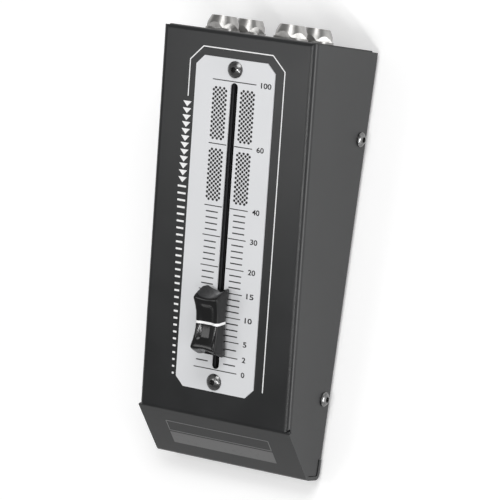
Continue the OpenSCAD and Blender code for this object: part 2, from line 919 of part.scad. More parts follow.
top_cover();
base_plate();
side_screws();
rubber_feet();
scale_plate();
panel_screws();
fader_frame();
front_end_block();
rear_end_block();
travel_buffers();
guide_rods();
track_board();
resistive_tracks();
collector_tracks();
terminal_pins();
dust_lips();
carriage();
left_wiper();
right_wiper();
lever();
knob();
knob_pointer();
jack_body(-1, 1);  // jack_body_upper_left
jack_body(1, 1);  // jack_body_upper_right
jack_body(-1, -1);  // jack_body_lower_left
jack_body(1, -1);  // jack_body_lower_right
jack_bushing(-1, 1);  // jack_bushing_upper_left
jack_bushing(1, 1);  // jack_bushing_upper_right
jack_bushing(-1, -1);  // jack_bushing_lower_left
jack_bushing(1, -1);  // jack_bushing_lower_right
jack_caps();
jack_washers();
jack_nuts();
jack_tip_contacts();
jack_sleeve_contacts();
input_wire_left();
input_wire_right();
output_wire_left();
output_wire_right();
ground_wire();
ground_bus();
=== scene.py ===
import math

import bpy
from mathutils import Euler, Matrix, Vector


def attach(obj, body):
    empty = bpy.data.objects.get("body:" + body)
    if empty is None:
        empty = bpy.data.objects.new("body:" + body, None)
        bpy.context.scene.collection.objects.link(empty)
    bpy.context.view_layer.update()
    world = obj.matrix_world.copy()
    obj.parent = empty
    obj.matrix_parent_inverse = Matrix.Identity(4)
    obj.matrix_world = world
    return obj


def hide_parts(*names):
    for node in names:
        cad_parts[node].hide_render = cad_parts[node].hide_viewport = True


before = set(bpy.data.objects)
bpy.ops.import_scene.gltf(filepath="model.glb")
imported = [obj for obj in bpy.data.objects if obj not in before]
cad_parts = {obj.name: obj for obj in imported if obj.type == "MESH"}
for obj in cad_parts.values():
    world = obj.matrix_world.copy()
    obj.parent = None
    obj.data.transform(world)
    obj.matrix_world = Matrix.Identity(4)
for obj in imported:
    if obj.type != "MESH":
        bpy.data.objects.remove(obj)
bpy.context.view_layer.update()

# Looks of the desktop volume control: the finishes of its parts, the rounded knob cap with its
# white line, and all that is printed on the scale plate, the panel and the nose.

# Measures are in millimetres and angles in degrees, and MM turns a measure into Blender's metres.
MM = 0.001


# Camera

CAMERA_PLACE = (669.96, 77.71, 1134.34)
CAMERA_TURN = (1.2778, 31.1504, 9.2324)
CAMERA_LENS = 244.8
CAMERA_SENSOR = 36
CAMERA_NEAR = 0.01
CAMERA_FAR = 50


def set_camera():
    """Stands the camera where the photograph was taken from."""
    bpy.ops.object.camera_add()
    camera = bpy.context.object
    camera.name = "photo_camera"
    camera.location = [value * MM for value in CAMERA_PLACE]
    camera.rotation_euler = [math.radians(angle) for angle in CAMERA_TURN]
    camera.data.sensor_width = CAMERA_SENSOR
    camera.data.lens = CAMERA_LENS
    camera.data.clip_start = CAMERA_NEAR
    camera.data.clip_end = CAMERA_FAR
    bpy.context.scene.camera = camera


set_camera()


# The panel's and the nose's own frames: across, along the sheet, and out of it

BEND_PLACE = (0, -66.8965, 29.7383)
PANEL_TURN = 7.5
NOSE_TURN = 45
PLATE_THICK = 0.5


def panel_place(along):
    """The place on the panel so many millimetres up from the nose."""
    turn = math.radians(PANEL_TURN)
    return (0, BEND_PLACE[1] + along * math.cos(turn), BEND_PLACE[2] + along * math.sin(turn))


# The knob's measures

KNOB_PLACE = 38.2
KNOB_FOOT = 2.5
KNOB_LENGTH = 27.4
KNOB_WIDTH = 11.7
KNOB_HEIGHT = 9.0
KNOB_SKIRT = 2.6
KNOB_TOP_WIDTH = 12.0
KNOB_TOP_LENGTH = 20.2
RIDGE_GAP = 18.8
SADDLE_DEPTH = 2.25
END_CHORD = 9.6
END_HOLLOW = 1.8
END_HOLLOW_FOOT = 1.8
END_HOLLOW_TOP = 0.4
WAIST_HOLLOW_FOOT = 1.35
WAIST_HOLLOW_TOP = 0.55
DISH_DEPTH = 0.85
SOCKET = (1.5, 10.4, 5.1)
SOCKET_SPARE = 1
LINE_WIDTH = 1.0
LINE_PROUD = 0.025
ROUND_SIDES = 192
KNOB_VOXEL = 0.2
KNOB_SMOOTHING = 340
SMOOTHING_SHARE = 0.5
SMOOTH_ANGLE = 40
KNOB_SPARE = 4
DISH_SPINE = 1.6
DISH_END = 5.5
DISH_REACH = 2.6
FLANK_FROM = 5.5
FLANK_TO = 5.7
SADDLE_CUTTER = 2 * KNOB_WIDTH
UPRIGHT_CUTTER = 4 * KNOB_HEIGHT
FACING = 0.9


# Finishes

SCREEN_WHITE = 255
SCREEN_FOOT = 0.04045
SCREEN_SLOPE = 12.92
SCREEN_SHIFT = 0.055
SCREEN_POWER = 2.4
MIX_FIRST = 6
MIX_SECOND = 7
MIX_COLOUR = 2


def tone(red, green=None, blue=None):
    """A colour as a screen shows it, 0 to 255, in the linear values that a shader takes."""
    green = red if green is None else green
    blue = red if blue is None else blue
    linear = []
    for level in (red, green, blue):
        share = level / SCREEN_WHITE
        low = share / SCREEN_SLOPE
        high = ((share + SCREEN_SHIFT) / (1 + SCREEN_SHIFT)) ** SCREEN_POWER
        linear.append(low if share <= SCREEN_FOOT else high)
    return (*linear, 1)


class Thread:
    """A value on its way through a finish. Sums, differences and products on it add their nodes."""

    def __init__(self, finish, socket):
        self.finish = finish
        self.socket = socket

    def worked(self, operation, *values):
        """One Math node on these values."""
        sockets = dict(enumerate(values))
        return self.finish.add("ShaderNodeMath", {"operation": operation}, sockets)

    def __add__(self, other):
        return self.worked("ADD", self, other)

    def __sub__(self, other):
        return self.worked("SUBTRACT", self, other)

    def __rsub__(self, other):
        return self.worked("SUBTRACT", other, self)

    def __mul__(self, other):
        return self.worked("MULTIPLY", self, other)

    def __pow__(self, other):
        return self.worked("POWER", self, other)

    def __abs__(self):
        return self.worked("ABSOLUTE", self)

    __radd__ = __add__
    __rmul__ = __mul__


class Finish:
    """One finish in the making: its shader with the steady values, and the patterns that feed it."""

    def __init__(self, name, **steady):
        self.material = bpy.data.materials.new(name)
        self.material.use_nodes = True
        self.tree = self.material.node_tree
        self.shader = self.tree.nodes["Principled BSDF"]
        self.place = self.add("ShaderNodeTexCoord", {}, {}, "Object")
        for socket, value in steady.items():
            self.shader.inputs[socket.replace("_", " ")].default_value = value

    def add(self, kind, settings, sockets, output=0):
        """A node of any other kind, with its settings and what goes into its sockets."""
        node = self.tree.nodes.new(kind)
        for name, value in settings.items():
            setattr(node, name, value)
        for name, value in sockets.items():
            self.feed(node.inputs[name], value)
        return Thread(self, node.outputs[output])

    def feed(self, socket, value):
        """A link where the value is a thread, and a steady value otherwise."""
        if isinstance(value, Thread):
            self.tree.links.new(value.socket, socket)
        else:
            socket.default_value = value

    def feed_shader(self, **threads):
        """What changes over the surface, by the shader's own socket names."""
        for socket, value in threads.items():
            self.feed(self.shader.inputs[socket.replace("_", " ")], value)

    def grain(self, size, detail=2, stretch=(1, 1, 1)):
        """Noise from 0 to 1 whose grains are about size millimetres across."""
        turned = self.add("ShaderNodeMapping", {}, {"Vector": self.place, "Scale": stretch})
        scale = 1 / (size * MM)
        return self.add("ShaderNodeTexNoise", {}, {"Vector": turned, "Scale": scale, "Detail": detail})

    def masked(self, value, low, high):
        """0 where value is below low, 1 where it is above high, and smooth between."""
        sockets = {"Value": value, "From Min": low, "From Max": high}
        return self.add("ShaderNodeMapRange", {"interpolation_type": "SMOOTHSTEP"}, sockets)

    def between(self, mask, first, second):
        """The first colour where the mask is 0 and the second where it is 1."""
        sockets = {0: mask, MIX_FIRST: first, MIX_SECOND: second}
        return self.add("ShaderNodeMix", {"data_type": "RGBA"}, sockets, MIX_COLOUR)

    def on_vectors(self, operation, first, second=None, output=0):
        """One Vector Math node."""
        sockets = {0: first} if second is None else {0: first, 1: second}
        return self.add("ShaderNodeVectorMath", {"operation": operation}, sockets, output)

    def away_from(self, centre):
        """The way to a place from a centre given in millimetres."""
        return self.on_vectors("SUBTRACT", self.place, [value * MM for value in centre])

    def from_axis(self, centre, direction):
        """The distance from an axis through a place, in metres."""
        away = self.away_from(centre)
        along = self.on_vectors("PROJECT", away, direction)
        across = self.on_vectors("SUBTRACT", away, along)
        return self.on_vectors("LENGTH", across, output="Value")

    def off(self, centre):
        """How far across and how far along a place is from a centre, in metres."""
        away = self.away_from(centre)
        across, along = (self.add("ShaderNodeSeparateXYZ", {}, {0: away}, axis) for axis in range(2))
        return across, along

    def relief(self, height, depth):
        """Bumps depth millimetres deep."""
        return self.add("ShaderNodeBump", {}, {"Height": height, "Distance": depth * MM})


def painted_steel(name):
    """Satin black stoving paint: a fine even grain, faint cloudiness and a little unevenness in gloss."""
    roughness, rough_by_grain, rough_by_cloud = 0.30, 0.08, 0.03
    finish = Finish(name, IOR=1.5, Specular_IOR_Level=0.5)
    fine = finish.grain(size=0.35)
    cloud = finish.masked(finish.grain(size=18, detail=3), low=0.35, high=0.65)
    finish.feed_shader(
        Base_Color=finish.between(cloud, tone(24, 25, 26), tone(29, 30, 31)),
        Roughness=roughness + fine * rough_by_grain + cloud * rough_by_cloud,
        Normal=finish.relief(fine, depth=0.004),
    )
    return finish.material


def satin_aluminium(name):
    """The scale plate: pale anodised aluminium with a very fine blasted grain."""
    metal_by_grain, roughness, rough_by_grain = 0.12, 0.45, 0.15
    finish = Finish(name, IOR=1.45)
    fine = finish.grain(size=0.18)
    broad = finish.grain(size=30)
    finish.feed_shader(
        Base_Color=finish.between(broad, tone(215, 216, 218), tone(222, 223, 225)),
        Metallic=fine * metal_by_grain,
        Roughness=roughness + fine * rough_by_grain,
        Normal=finish.relief(fine, depth=0.002),
    )
    return finish.material


def plated_metal(name, pale, dark, roughness):
    """Plated or bare metal: tumbled grain, faint dull patches and small changes in gloss."""
    dull_by_patch, rough_by_grain, rough_by_patch = 0.04, 0.06, 0.05
    finish = Finish(name)
    fine = finish.grain(size=0.25, detail=3)
    patches = finish.masked(finish.grain(size=3.5), low=0.4, high=0.7)
    finish.feed_shader(
        Base_Color=finish.between(patches, pale, dark),
        Metallic=1 - patches * dull_by_patch,
        Roughness=roughness + fine * rough_by_grain + patches * rough_by_patch,
        Normal=finish.relief(fine, depth=0.0015),
    )
    return finish.material


def screw_metal(name, pale, dark, roughness, axes):
    """A plated screw, one on each axis, with painted shade in its hexagon socket: near black and dull inside.
    """
    dull_in_socket_shade, rough_by_grain, rough_inside = 0.9, 0.06, 0.4
    finish = Finish(name)
    fine = finish.grain(size=0.25, detail=3)
    rubbed = finish.masked(finish.grain(size=1.2), low=0.4, high=0.7)
    # The middle of each hexagon socket is painted near black and made dull, as painted shade in the recess.
    inside = 0
    for centre, direction in axes:
        distance = finish.from_axis(centre, direction)
        near = finish.masked(distance, low=(HEX_RADIUS + HEX_EDGE) * MM, high=HEX_RADIUS * MM)
        inside = near + inside
    metal = finish.between(rubbed, pale, dark)
    finish.feed_shader(
        Base_Color=finish.between(inside, metal, tone(9)),
        Metallic=1 - inside * dull_in_socket_shade,
        Roughness=roughness + fine * rough_by_grain + inside * rough_inside,
        Normal=finish.relief(fine, depth=0.0015),
    )
    return finish.material


def moulded_plastic(name, pale, dark, roughness, grain_size=0.4, grain_depth=0.003):
    """Moulded plastic or rubber: a little flow marking in the colour and a fine skin."""
    rough_by_grain = 0.08
    finish = Finish(name)
    fine = finish.grain(grain_size)
    flow = finish.grain(size=4, stretch=(1, 0.4, 1))
    finish.feed_shader(
        Base_Color=finish.between(flow, pale, dark),
        Roughness=roughness + fine * rough_by_grain,
        Normal=finish.relief(fine, grain_depth),
    )
    return finish.material


def fibre_board(name):
    """Brown phenolic board with the weave of its paper just showing."""
    roughness, rough_by_fibre = 0.5, 0.15
    finish = Finish(name)
    fibre = finish.grain(size=0.5, detail=3, stretch=(1, 0.15, 1))
    finish.feed_shader(
        Base_Color=finish.between(fibre, tone(96, 60, 30), tone(128, 84, 44)),
        Roughness=roughness + fibre * rough_by_fibre,
        Normal=finish.relief(fibre, depth=0.006),
    )
    return finish.material


def printed_ink(name, full, thin):
    """Screen-printed ink, a shade thinner here and there, with a slightly grainy edge to its gloss."""
    roughness, rough_by_grain = 0.5, 0.15
    finish = Finish(name)
    fine = finish.grain(size=0.12)
    wear = finish.masked(finish.grain(size=1.6), low=0.55, high=0.8)
    finish.feed_shader(
        Base_Color=finish.between(wear, full, thin),
        Roughness=roughness + fine * rough_by_grain,
        Normal=finish.relief(fine, depth=0.001),
    )
    return finish.material


def gloss_knob(name):
    """The knob: deep black plastic, polished where the finger rests and satin on its two flanks."""
    roughness, rough_by_scuff, rough_on_flank = 0.19, 0.08, 0.34
    finish = Finish(name, IOR=1.5)
    wave = finish.grain(size=2.2, detail=1)
    scuff = finish.masked(finish.grain(size=0.6, detail=3), low=0.62, high=0.85)
    across, along = finish.off(panel_place(KNOB_PLACE))
    share = along * (2 / (KNOB_LENGTH * MM))
    waist = (1 - share ** 2) * ((WAIST_HOLLOW_FOOT + WAIST_HOLLOW_TOP) / 2 * MM)
    flank = finish.masked(abs(across) + waist, FLANK_FROM * MM, FLANK_TO * MM)
    finish.feed_shader(
        Base_Color=finish.between(scuff, tone(12, 12, 13), tone(18, 18, 19)),
        Roughness=roughness + scuff * rough_by_scuff + flank * rough_on_flank,
        Normal=finish.relief(wave, depth=0.01),
    )
    return finish.material


# Radius and soft edge of the painted shade in the screws' hexagon sockets
HEX_RADIUS = 1.05
HEX_EDGE = 0.12
SIDE_SCREW_HEIGHT = 6
SIDE_SCREW_PLACES = (-54.135, 46.135)
PANEL_SCREW_PLACES = (14.2, 134.2)
PANEL_UP = (0, -math.sin(math.radians(PANEL_TURN)), math.cos(math.radians(PANEL_TURN)))
SIDE_SCREWS = [((0, place, SIDE_SCREW_HEIGHT), (1, 0, 0)) for place in SIDE_SCREW_PLACES]
PANEL_SCREWS = [(panel_place(place), PANEL_UP) for place in PANEL_SCREW_PLACES]

finishes = {
    "case_paint": painted_steel("case_paint_satin_black"),
    "plate_aluminium": satin_aluminium("plate_satin_aluminium"),
    # Both screw finishes paint shade into their hexagon sockets.
    "side_screw_steel": screw_metal("screw_nickel", tone(132), tone(106), 0.2, SIDE_SCREWS),
    "panel_screw_steel": screw_metal("screw_dark_chrome", tone(128), tone(98), 0.22, PANEL_SCREWS),
    "rubber_black": moulded_plastic("rubber_matt_black", tone(30), tone(38), 0.78, 0.5, 0.01),
    # Plated steel whose tone is lowered below its own as painted shade, for the dark slot where the fader
    # frame shows.
    "fader_steel": plated_metal("steel_plated_shade_darkened", tone(118, 119, 121), tone(100, 101, 104), 0.4),
    "white_nylon": moulded_plastic("nylon_white", tone(226, 225, 218), tone(214, 213, 205), 0.42),
    "black_plastic": moulded_plastic("plastic_black", tone(14), tone(18), 0.55),
    "board_phenolic": fibre_board("board_brown_phenolic"),
    "carbon_ink": printed_ink("ink_carbon", tone(30), tone(44)),
    "silver_ink": printed_ink("ink_silver", tone(176), tone(150)),
    "tinned_metal": plated_metal("wire_tinned", tone(200), tone(176), 0.3),
    "contact_brass": plated_metal("brass_contact", tone(214, 178, 96), tone(190, 150, 74), 0.28),
    "jack_chrome": plated_metal("nickel_jack", tone(178, 177, 175), tone(156, 155, 153), 0.27),
    "wire_white": moulded_plastic("sleeve_white", tone(226), tone(214), 0.45),
    "wire_red": moulded_plastic("sleeve_red", tone(172, 30, 26), tone(150, 24, 22), 0.45),
    "wire_green": moulded_plastic("sleeve_green", tone(30, 120, 56), tone(24, 102, 48), 0.45),
    "knob_plastic": gloss_knob("knob_gloss_black"),
    "pointer_paint": printed_ink("paint_knob_line", tone(246), tone(238)),
}
print_white = printed_ink("print_white", tone(240), tone(226))
print_dark = printed_ink("print_dark", tone(28), tone(42))
print_black = printed_ink("print_black", tone(10), tone(16))
print_line_grey = printed_ink("print_line_grey", tone(120), tone(104))
print_bar_grey = printed_ink("print_bar_grey", tone(112), tone(104))


def finish_cad_nodes():
    """Gives every part of the construction model the finish of its material slot."""
    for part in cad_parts.values():
        for slot in part.material_slots:
            slot.material = finishes[slot.material.name]


finish_cad_nodes()


# Modelling by hand

def take(piece):
    """Only this piece is selected, and it is the one being worked on."""
    bpy.ops.object.select_all(action="DESELECT")
    piece.select_set(True)
    bpy.context.view_layer.objects.active = piece


def name_new(name):
    """Names what an operator has just made, and takes it."""
    piece = bpy.context.object
    piece.name = name
    piece.data.name = name
    take(piece)
    return piece


def pick(piece, mode, wanted):
    """Goes into edit mode with only the faces, edges or points selected that wanted() accepts."""
    take(piece)
    bpy.ops.object.mode_set(mode="EDIT")
    bpy.ops.mesh.select_mode(type="FACE")
    bpy.ops.mesh.select_all(action="DESELECT")
    bpy.ops.mesh.select_mode(type=mode)
    bpy.ops.object.mode_set(mode="OBJECT")
    parts = {"FACE": piece.data.polygons, "EDGE": piece.data.edges, "VERT": piece.data.vertices}[mode]
    for part in parts:
        part.select = wanted(part)
    bpy.ops.object.mode_set(mode="EDIT")


def leave():
    """Back out of edit mode."""
    bpy.ops.object.mode_set(mode="OBJECT")


def settle(piece):
    """Puts the piece's place into its mesh, so that its object is at the origin, unturned."""
    take(piece)
    bpy.ops.object.transform_apply(location=True, rotation=True, scale=True)


def work(piece, kind, **settings):
    """Adds a modifier, sets it up and applies it."""
    take(piece)
    modifier = piece.modifiers.new(kind.lower(), kind)
    for name, value in settings.items():
        setattr(modifier, name, value)
    bpy.ops.object.modifier_apply(modifier=modifier.name)


def repeat(piece, count, step):
    """Sets out so many of the piece, each a step in metres on from the last."""
    work(
        piece,
        "ARRAY",
        count=count,
        use_relative_offset=False,
        use_constant_offset=True,
        constant_offset_displace=step,
    )


def joined(pieces, name):
    """Makes several pieces into one."""
    take(pieces[0])
    for piece in pieces:
        piece.select_set(True)
    bpy.ops.object.join()
    return name_new(name)


def copied(piece, across, along):
    """A copy with its own mesh, moved by so many millimetres."""
    twin = piece.copy()
    twin.data = piece.data.copy()
    bpy.context.collection.objects.link(twin)
    twin.location = (across * MM, along * MM, 0)
    settle(twin)
    return twin


def cut_away(piece, cutter):
    """Takes the cutter's shape out of the piece, and deletes the cutter."""
    work(piece, "BOOLEAN", object=cutter, operation="DIFFERENCE", solver="EXACT")
    bpy.data.objects.remove(cutter)


def lay_on(piece, turn, height=0):
    """Moves a piece modelled flat round the origin onto the panel or the nose."""
    rotation = Euler((math.radians(turn), 0, 0))
    lift = Vector((0, 0, height * MM))
    lift.rotate(rotation)
    piece.rotation_euler = rotation
    piece.location = Vector(BEND_PLACE) * MM + lift
    settle(piece)
    return piece


# The knob

def arc_radius(chord, rise):
    """The radius of an arc that rises so much over its chord."""
    return (chord * chord / 4 + rise * rise) / (2 * rise)


def round_cutter(radius, length, place, turn):
    """A round bar that is to be cut out of the knob."""
    bpy.ops.mesh.primitive_cylinder_add(
        vertices=ROUND_SIDES,
        radius=radius * MM,
        depth=length * MM,
        location=[value * MM for value in place],
        rotation=[math.radians(angle) for angle in turn],
    )
    cutter = name_new("cutter")
    settle(cutter)
    return cutter


def knob_block():
    """The knob before it is hollowed: an upright skirt, and a block on it that narrows to its top."""
    bpy.ops.mesh.primitive_cube_add(size=1, location=(0, 0, (KNOB_SKIRT - KNOB_SPARE) * MM / 2))
    block = name_new("knob_cap")
    block.scale = (KNOB_WIDTH * MM, KNOB_LENGTH * MM, (KNOB_SKIRT + KNOB_SPARE) * MM)
    settle(block)
    pick(block, "FACE", lambda face: face.normal.z > FACING)
    rise = (KNOB_HEIGHT - KNOB_SKIRT) * MM
    bpy.ops.mesh.extrude_region_move(TRANSFORM_OT_translate={"value": (0, 0, rise)})
    narrow = (KNOB_TOP_WIDTH / KNOB_WIDTH, KNOB_TOP_LENGTH / KNOB_LENGTH, 1)
    bpy.ops.transform.resize(value=narrow)
    leave()
    return block


def hollow_saddle(block):
    """Cuts the finger rest between the ridges."""
    radius = arc_radius(RIDGE_GAP, SADDLE_DEPTH)
    above = KNOB_HEIGHT + radius - SADDLE_DEPTH
    cut_away(block, round_cutter(radius, SADDLE_CUTTER, (0, 0, above), (0, 90, 0)))


def round_over(block):
    """Turns the block into one even skin, rounds all of it, and cuts off the spare under its foot."""
    work(block, "REMESH", mode="VOXEL", voxel_size=KNOB_VOXEL * MM)
    work(block, "SMOOTH", factor=SMOOTHING_SHARE, iterations=KNOB_SMOOTHING)
    pick(block, "FACE", lambda face: True)
    bpy.ops.mesh.bisect(plane_co=(0, 0, 0), plane_no=(0, 0, 1), use_fill=True, clear_inner=True)
    leave()


def dish_saddle(cap):
    """Presses the middle of the finger rest down, so that a rim stands along both its sides."""
    low = KNOB_HEIGHT / 2 * MM
    pick(cap, "VERT", lambda point: (
        abs(point.co.x) < DISH_SPINE * MM and abs(point.co.y) < DISH_END * MM and point.co.z > low
    ))
    bpy.ops.transform.translate(
        value=(0, 0, -DISH_DEPTH * MM),
        use_proportional_edit=True,
        use_proportional_connected=True,
        proportional_edit_falloff="SMOOTH",
        proportional_size=DISH_REACH * MM,
    )
    leave()


def leaning_cutter(radius, foot, top):
    """How far out, how high and at what angle a round cutter stands whose face leans from foot to top."""
    lean = math.atan((foot - top) / KNOB_HEIGHT)
    out = (foot + top) / 2 + radius * math.cos(lean)
    high = KNOB_HEIGHT / 2 + radius * math.sin(lean)
    return out, high, math.degrees(lean)


def hollow_ends(block):
    """Scoops out both ends between their rounded rims."""
    radius = arc_radius(END_CHORD, END_HOLLOW)
    foot = KNOB_LENGTH / 2 - END_HOLLOW_FOOT
    top = KNOB_TOP_LENGTH / 2 - END_HOLLOW_TOP
    out, high, lean = leaning_cutter(radius, foot, top)
    for end in (1, -1):
        cut_away(block, round_cutter(radius, UPRIGHT_CUTTER, (0, end * out, high), (end * lean, 0, 0)))


def hollow_sides(block):
    """Draws in the waist on both sides, more at the foot than at the top."""
    radius = arc_radius(KNOB_LENGTH, (WAIST_HOLLOW_FOOT + WAIST_HOLLOW_TOP) / 2)
    foot = KNOB_WIDTH / 2 - WAIST_HOLLOW_FOOT
    top = KNOB_TOP_WIDTH / 2 - WAIST_HOLLOW_TOP
    out, high, lean = leaning_cutter(radius, foot, top)
    for side in (1, -1):
        cut_away(block, round_cutter(radius, UPRIGHT_CUTTER, (side * out, 0, high), (0, -side * lean, 0)))


def hollow_socket(block):
    """Opens the slot underneath that goes over the lever."""
    width, length, height = SOCKET
    bpy.ops.mesh.primitive_cube_add(size=1, location=(0, 0, (height - SOCKET_SPARE) / 2 * MM))
    cutter = name_new("cutter")
    cutter.scale = (width * MM, length * MM, (height + SOCKET_SPARE) * MM)
    settle(cutter)
    cut_away(block, cutter)


def model_knob():
    """The knob cap and its white line, in place over the lever."""
    cap = knob_block()
    hollow_saddle(cap)
    hollow_ends(cap)
    hollow_sides(cap)
    round_over(cap)
    dish_saddle(cap)
    hollow_socket(cap)
    line = copied(cap, 0, 0)
    line.name = "knob_line"
    line.data.name = "knob_line"
    for side in (1, -1):
        pick(line, "FACE", lambda face: True)
        bpy.ops.mesh.bisect(
            plane_co=(0, side * LINE_WIDTH / 2 * MM, 0),
            plane_no=(0, side, 0),
            use_fill=True,
            clear_outer=True,
        )
        leave()
    pick(line, "FACE", lambda face: abs(face.normal.y) < FACING)
    bpy.ops.transform.shrink_fatten(value=LINE_PROUD * MM)
    leave()
    for piece in (cap, line):
        settle_knob(piece)
    return cap, line


def settle_knob(piece):
    """Sets the cap or its line on the panel, smooths its shading and lets it slide."""
    piece.location = (0, KNOB_PLACE * MM, 0)
    settle(piece)
    lay_on(piece, PANEL_TURN, KNOB_FOOT)
    take(piece)
    bpy.ops.object.shade_smooth_by_angle(angle=math.radians(SMOOTH_ANGLE))
    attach(piece, "slider")


knob_cap, knob_line = model_knob()
knob_cap.data.materials.append(finishes["knob_plastic"])
knob_line.data.materials.append(finishes["pointer_paint"])
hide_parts("knob")
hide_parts("knob_pointer")


# Print

INK_THICK = 0.03
INK_SUNK = 0.01


def raise_print(piece):
    """Gives flat print its thickness, with its foot just under the surface."""
    rise = (INK_THICK + INK_SUNK) * MM
    pick(piece, "FACE", lambda face: True)
    bpy.ops.mesh.extrude_region_move(TRANSFORM_OT_translate={"value": (0, 0, rise)})
    bpy.ops.mesh.select_all(action="SELECT")
    bpy.ops.transform.translate(value=(0, 0, -INK_SUNK * MM))
    bpy.ops.mesh.normals_make_consistent(inside=False)
    leave()


def flat_patch(name, left, right, low, high, corner=0):
    """A flat rectangle of print, its corners cut off by so much."""
    bpy.ops.mesh.primitive_plane_add(size=1)
    patch = name_new(name)
    patch.scale = ((right - left) * MM, (high - low) * MM, 1)
    patch.location = ((left + right) / 2 * MM, (low + high) / 2 * MM, 0)
    settle(patch)
    if corner:
        pick(patch, "VERT", lambda point: True)
        bpy.ops.mesh.bevel(offset=corner * MM, segments=2, affect="VERTICES")
        leave()
    return patch


def hang(piece, finish):
    """Print belongs to the case and takes the finish of a material slot."""
    piece.data.materials.clear()
    piece.data.materials.append(finish)
    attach(piece, "case")


SCALE = {100: 129.6, 60: 105.3, 40: 81.6, 30: 70.2, 20: 58.6, 15: 49.3, 10: 40.0, 5: 30.7, 2: 24.75, 0: 18.95}
ACROSS_SLOT = (100, 0)
MINOR_COUNT = {(40, 30): 4, (30, 20): 4, (20, 15): 3, (15, 10): 3, (10, 5): 3, (5, 2): 1, (2, 0): 1}
MAJOR_REACH = 9.7
SLOT_EDGE = 1.75
MAJOR_THICK = 0.36
MINOR_FROM = 3.5
MINOR_TO = 8.85
MINOR_THICK = 0.46
TICK_CORNER = 0.1


def print_scale_lines():
    """The long lines at the numbers and the short ones between them."""
    half = MAJOR_THICK / 2
    reach = MAJOR_REACH
    whole = flat_patch("whole_line", -reach, reach, -half, half, TICK_CORNER)
    beside = flat_patch("half_line", SLOT_EDGE, reach, -half, half, TICK_CORNER)
    half = MINOR_THICK / 2
    short = flat_patch("short_line", MINOR_FROM, MINOR_TO, -half, half, TICK_CORNER)
    for patch in (whole, beside, short):
        raise_print(patch)
    lines = []
    for number, place in SCALE.items():
        if number in ACROSS_SLOT:
            lines.append(copied(whole, 0, place))
        else:
            lines.append(copied(beside, 0, place))
            lines.append(copied(beside, -reach - SLOT_EDGE, place))
    for (upper, lower), count in MINOR_COUNT.items():
        step = (SCALE[lower] - SCALE[upper]) / (count + 1)
        for index in range(count):
            place = SCALE[upper] + step * (index + 1)
            lines.append(copied(short, 0, place))
            lines.append(copied(short, -MINOR_FROM - MINOR_TO, place))
    for patch in (whole, beside, short):
        bpy.data.objects.remove(patch)
    piece = joined(lines, "scale_lines")
    lay_on(piece, PANEL_TURN, PLATE_THICK)
    hang(piece, print_dark)


DOT_SIZE = 1.06
DOT_SIDES = 10
DOT_GAP = 1.83
DOT_WIDE = 4
DOT_ROWS = 12
DOT_BLOCKS = ((126.55, 107.35), (103.05, 84.0))
DOT_LEFT = (-8.94, 3.4)


def dot_field(across, along, columns, rows, row_gap):
    """A field of round dots, the first one modelled and the others set out from it."""
    bpy.ops.mesh.primitive_circle_add(vertices=DOT_SIDES, radius=DOT_SIZE / 2 * MM, fill_type="NGON")
    dot = name_new("dot")
    raise_print(dot)
    dot.location = (across * MM, along * MM, 0)
    settle(dot)
    repeat(dot, columns, (DOT_GAP * MM, 0, 0))
    repeat(dot, rows, (0, -row_gap * MM, 0))
    return dot


def print_dots():
    """Four blocks of dots, whose rows have three and four dots in turn."""
    fields = []
    for top, bottom in DOT_BLOCKS:
        row_gap = (top - bottom) / (DOT_ROWS - 1)
        for left in DOT_LEFT:
            fields.append(dot_field(left + DOT_GAP / 2, top, DOT_WIDE - 1, DOT_ROWS, row_gap))
            fields.append(dot_field(left, top - row_gap / 2, DOT_WIDE, DOT_ROWS - 1, row_gap))
    piece = joined(fields, "scale_dots")
    lay_on(piece, PANEL_TURN, PLATE_THICK)
    hang(piece, print_black)


NUMBER_LEFT = 11.7
NUMBER_HEIGHT = 2.1
NUMBER_BOLD = 0.02
NUMBER_WIDTHS = {3: 4.6, 2: 3.2, 1: 1.55}


def print_number(number, place):
    """One number of the scale, beside its line."""
    bpy.ops.object.text_add()
    text = bpy.context.object
    text.data.body = str(number)
    text.data.offset = NUMBER_BOLD
    take(text)
    bpy.ops.object.convert(target="MESH")
    figures = name_new("figures")
    corners = [Vector(corner) for corner in figures.bound_box]
    low = [min(corner[axis] for corner in corners) for axis in range(2)]
    high = [max(corner[axis] for corner in corners) for axis in range(2)]
    wide = NUMBER_WIDTHS[len(str(number))] * MM / (high[0] - low[0])
    tall = NUMBER_HEIGHT * MM / (high[1] - low[1])
    figures.scale = (wide, tall, 1)
    middle = (low[1] + high[1]) / 2 * tall
    figures.location = (NUMBER_LEFT * MM - low[0] * wide, place * MM - middle, 0)
    settle(figures)
    raise_print(figures)
    return figures


def print_numbers():
    """All the numbers of the scale."""
    numbers = [print_number(number, place) for number, place in SCALE.items()]
    piece = joined(numbers, "scale_numbers")
    lay_on(piece, PANEL_TURN, PLATE_THICK)
    hang(piece, print_dark)


OUTLINE_LEFT = -20.8
OUTLINE_RIGHT = 21.65
OUTLINE_TOP = 141.6
OUTLINE_CORNER = 5.7
OUTLINE_THICK = 0.42
OUTLINE_LEFT_END = 121.7
OUTLINE_RIGHT_END = 13.5
OUTLINE_SPARE = 5
OUTLINE_BAND = 1


